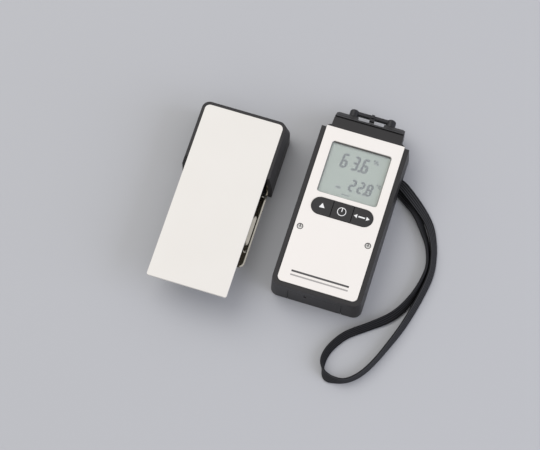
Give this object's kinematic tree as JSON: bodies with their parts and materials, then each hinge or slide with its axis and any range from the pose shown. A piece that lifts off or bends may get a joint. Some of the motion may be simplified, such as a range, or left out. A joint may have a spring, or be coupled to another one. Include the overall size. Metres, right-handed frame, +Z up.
{
  "type": "pocket thermo-hygrometer with slip-on cover",
  "caption": "Handheld temperature and humidity meter with display, keys, guarded sensor head and wrist strap, and its slip-on cover laid beside it.",
  "frame": {"origin": "middle of the footprint of meter and cover together, on the surface that they lie on, the strap left out", "axes": "+Y along the meter towards its sensor head, +Z up out of the meter's face, +X towards the meter from its cover"},
  "size_m": [0.1382, 0.1402, 0.0203],
  "materials": {
    "black_plastic": "fine matt moulded plastic",
    "white_plastic": "smooth off-white plastic",
    "clear_window": "clear flat acrylic",
    "display_glass": "grey-green liquid crystal display",
    "connector_rubber": "layered conductive rubber",
    "key_plastic": "smooth black plastic with white marks",
    "key_rubber": "soft silicone",
    "spring_metal": "plated spring steel",
    "circuit_board": "green lacquered board",
    "dark_board": "black lacquered board",
    "chip_plastic": "black moulded chip",
    "component_ceramic": "coated components",
    "screw_steel": "plain steel",
    "contact_brass": "plated pins",
    "cell_jacket": "plain printed steel can",
    "strap_webbing": "flat woven webbing",
    "clip_steel": "polished sheet steel"
  },
  "bodies": {
    "meter": {"rear_case": "black_plastic", "front_case": "black_plastic", "face_plate": "white_plastic", "display_window": "clear_window", "display_glass": "display_glass", "display_connectors": "connector_rubber", "key_sheet": "key_rubber", "snap_domes": "spring_metal", "main_board": "circuit_board", "measuring_chip": "chip_plastic", "board_components": "component_ceramic", "board_screws": "screw_steel", "sensor_board": "dark_board", "sensor_header": "contact_brass", "humidity_sensor": "chip_plastic", "thermistor": "component_ceramic", "sensor_guard": "black_plastic", "face_screws": "screw_steel", "case_screws": "screw_steel", "battery_cells": "cell_jacket", "battery_springs": "spring_metal", "battery_contacts": "spring_metal", "strap_bar": "screw_steel", "wrist_strap": "strap_webbing"},
    "up_button": {"key_up": "key_plastic"},
    "power_button": {"key_power": "key_plastic"},
    "mode_button": {"key_mode": "key_plastic"},
    "door": {"battery_door": "black_plastic"},
    "cover": {"cover_shell": "black_plastic", "shield_plate": "white_plastic", "clip_plate": "clip_steel", "clip_rivets": "screw_steel"}
  },
  "joints": [
    {"name": "up_press", "type": "slide", "parent": "meter", "child": "up_button", "axis": [0, 0, -1], "range_m": [0, 0.0005], "stiffness_N_per_m": 400},
    {"name": "power_press", "type": "slide", "parent": "meter", "child": "power_button", "axis": [0, 0, -1], "range_m": [0, 0.0005], "stiffness_N_per_m": 400},
    {"name": "mode_press", "type": "slide", "parent": "meter", "child": "mode_button", "axis": [0, 0, -1], "range_m": [0, 0.0005], "stiffness_N_per_m": 400},
    {"name": "door_slide", "type": "slide", "parent": "meter", "child": "door", "axis": [0, -1, 0], "range_m": [0, 0.009]},
    {"name": "cover_slide", "type": "slide", "parent": "meter", "child": "cover", "axis": [0, 1, 0], "range_m": [0, 0.12]}
  ]
}
